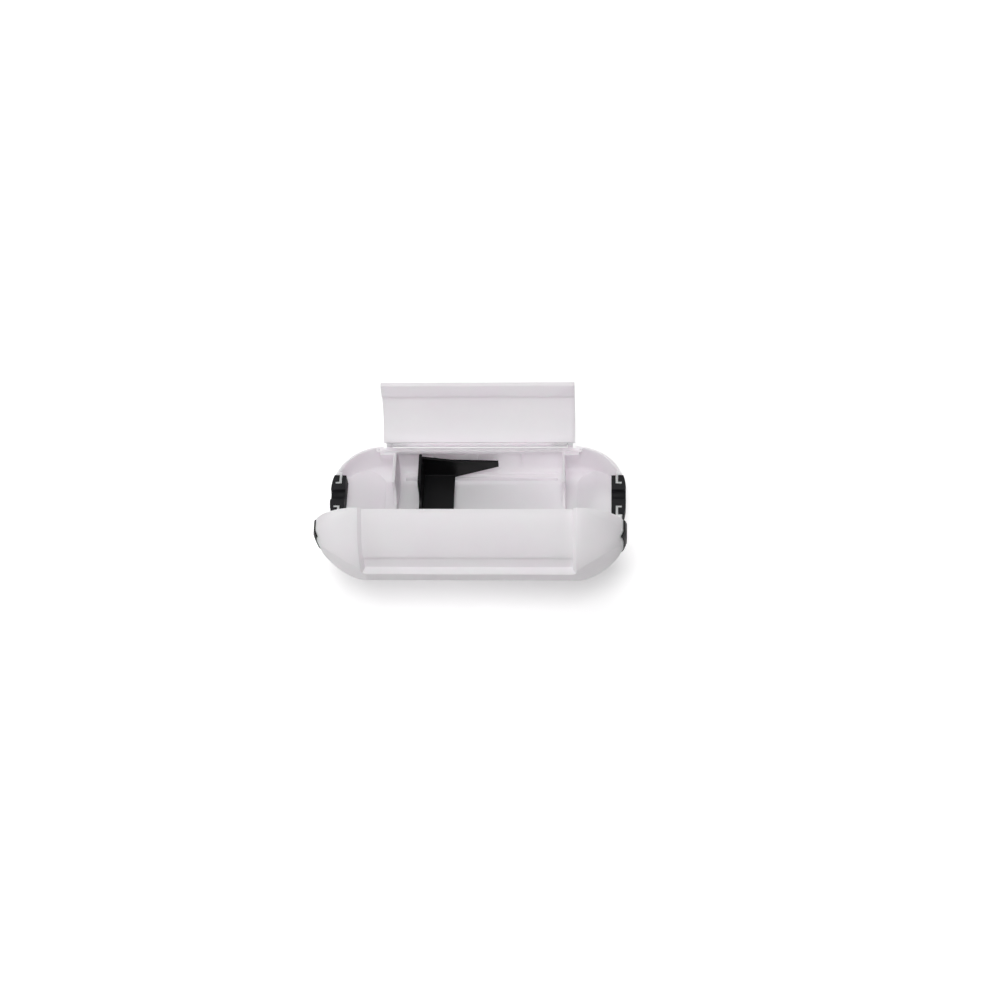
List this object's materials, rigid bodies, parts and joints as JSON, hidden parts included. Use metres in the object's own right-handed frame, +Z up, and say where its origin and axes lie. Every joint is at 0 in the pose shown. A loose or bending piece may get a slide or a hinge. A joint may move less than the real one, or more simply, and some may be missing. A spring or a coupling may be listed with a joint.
{
  "type": "weatherproof cable connector box",
  "caption": "Clamshell box with rounded ends, hinged lid, curved latch flap, rubber cable seals and a sliding plug retainer, that closes round a plugged lead connection.",
  "frame": {"origin": "centre of the base's flat underside", "axes": "+X along the leads, to the right seen from the lid's side; +Y from the lid hinge to the flap hinge; +Z up"},
  "size_m": [0.2074, 0.151, 0.1162],
  "materials": {
    "shell_white": "satin moulded white",
    "plastic_black": "satin moulded black",
    "rubber_black": "matt",
    "pin_steel": "drawn"
  },
  "bodies": {
    "base": {"base_shell": "shell_white", "base_seal_left": "rubber_black", "base_seal_right": "rubber_black", "lid_pin_left": "pin_steel", "lid_pin_right": "pin_steel", "flap_pin_left": "pin_steel", "flap_pin_right": "pin_steel"},
    "lid": {"lid_shell": "shell_white", "lid_seal_left": "rubber_black", "lid_seal_right": "rubber_black"},
    "flap": {"latch_flap": "shell_white"},
    "retainer": {"plug_retainer": "plastic_black"}
  },
  "joints": [
    {"name": "lid_hinge", "type": "hinge", "parent": "base", "child": "lid", "pos_m": [0, -0.0428, 0.035], "axis": [-1, 0, 0], "range_deg": [0, 100.6]},
    {"name": "flap_hinge", "type": "hinge", "parent": "base", "child": "flap", "pos_m": [0, 0.0416, 0.036], "axis": [1, 0, 0], "range_deg": [0, 76]},
    {"name": "retainer_slide", "type": "slide", "parent": "base", "child": "retainer", "axis": [1, 0, 0], "range_m": [-0.015, 0.044]}
  ]
}
